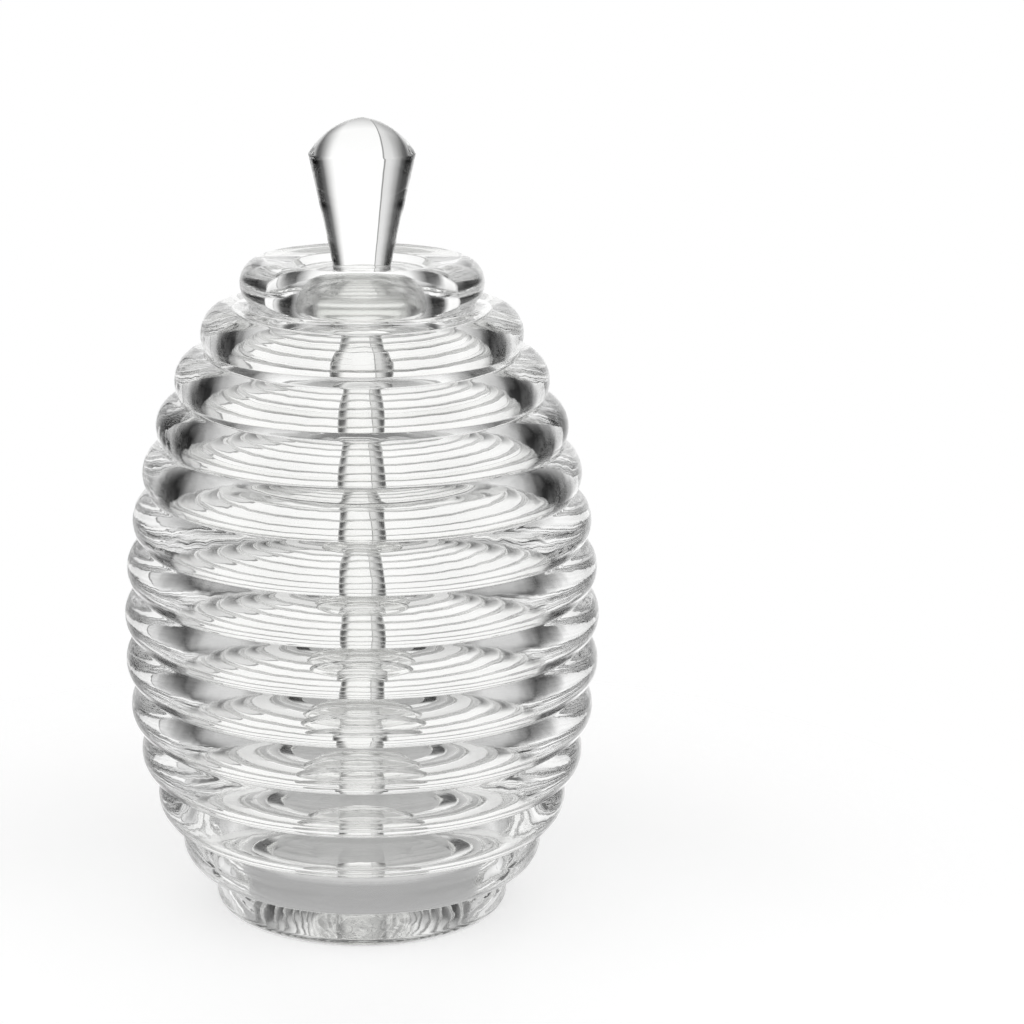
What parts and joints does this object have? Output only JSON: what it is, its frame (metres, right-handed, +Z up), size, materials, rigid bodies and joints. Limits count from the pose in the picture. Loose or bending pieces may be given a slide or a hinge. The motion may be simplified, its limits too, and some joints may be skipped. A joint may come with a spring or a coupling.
{
  "type": "honey dispenser",
  "caption": "Clear ribbed beehive pot with a ribbed lid and a long knobbed dipper; the dipper's sealed stopper fills the hole in the lid and its disc head stands in the pot.",
  "frame": {"origin": "centre of the flat ring that the foot stands on, on the table", "axes": "+Z up along the pot's own axis; the pot is round, so +X and +Y are any two level directions at right angles, and -Y faces the camera of the picture"},
  "size_m": [0.092, 0.092, 0.1538],
  "materials": {
    "clear": "polished, clear",
    "seal": "satin, translucent"
  },
  "bodies": {
    "pot": {"jar": "clear"},
    "seal": {"stopper_seal": "seal"},
    "dipper": {"knob": "clear", "stopper": "clear", "dipper_rod": "clear", "dipper_head": "clear"},
    "lid": {"lid": "clear"}
  },
  "joints": [
    {"name": "dipper_lift", "type": "slide", "parent": "pot", "child": "seal", "axis": [0, 0, 1], "range_m": [0, 0.1]},
    {"name": "dipper_spin", "type": "hinge", "parent": "seal", "child": "dipper", "pos_m": [0, 0, 0.121], "axis": [0, 0, 1], "continuous": true},
    {"name": "lid_lift", "type": "slide", "parent": "seal", "child": "lid", "axis": [0, 0, 1], "range_m": [0, 0.07]}
  ]
}
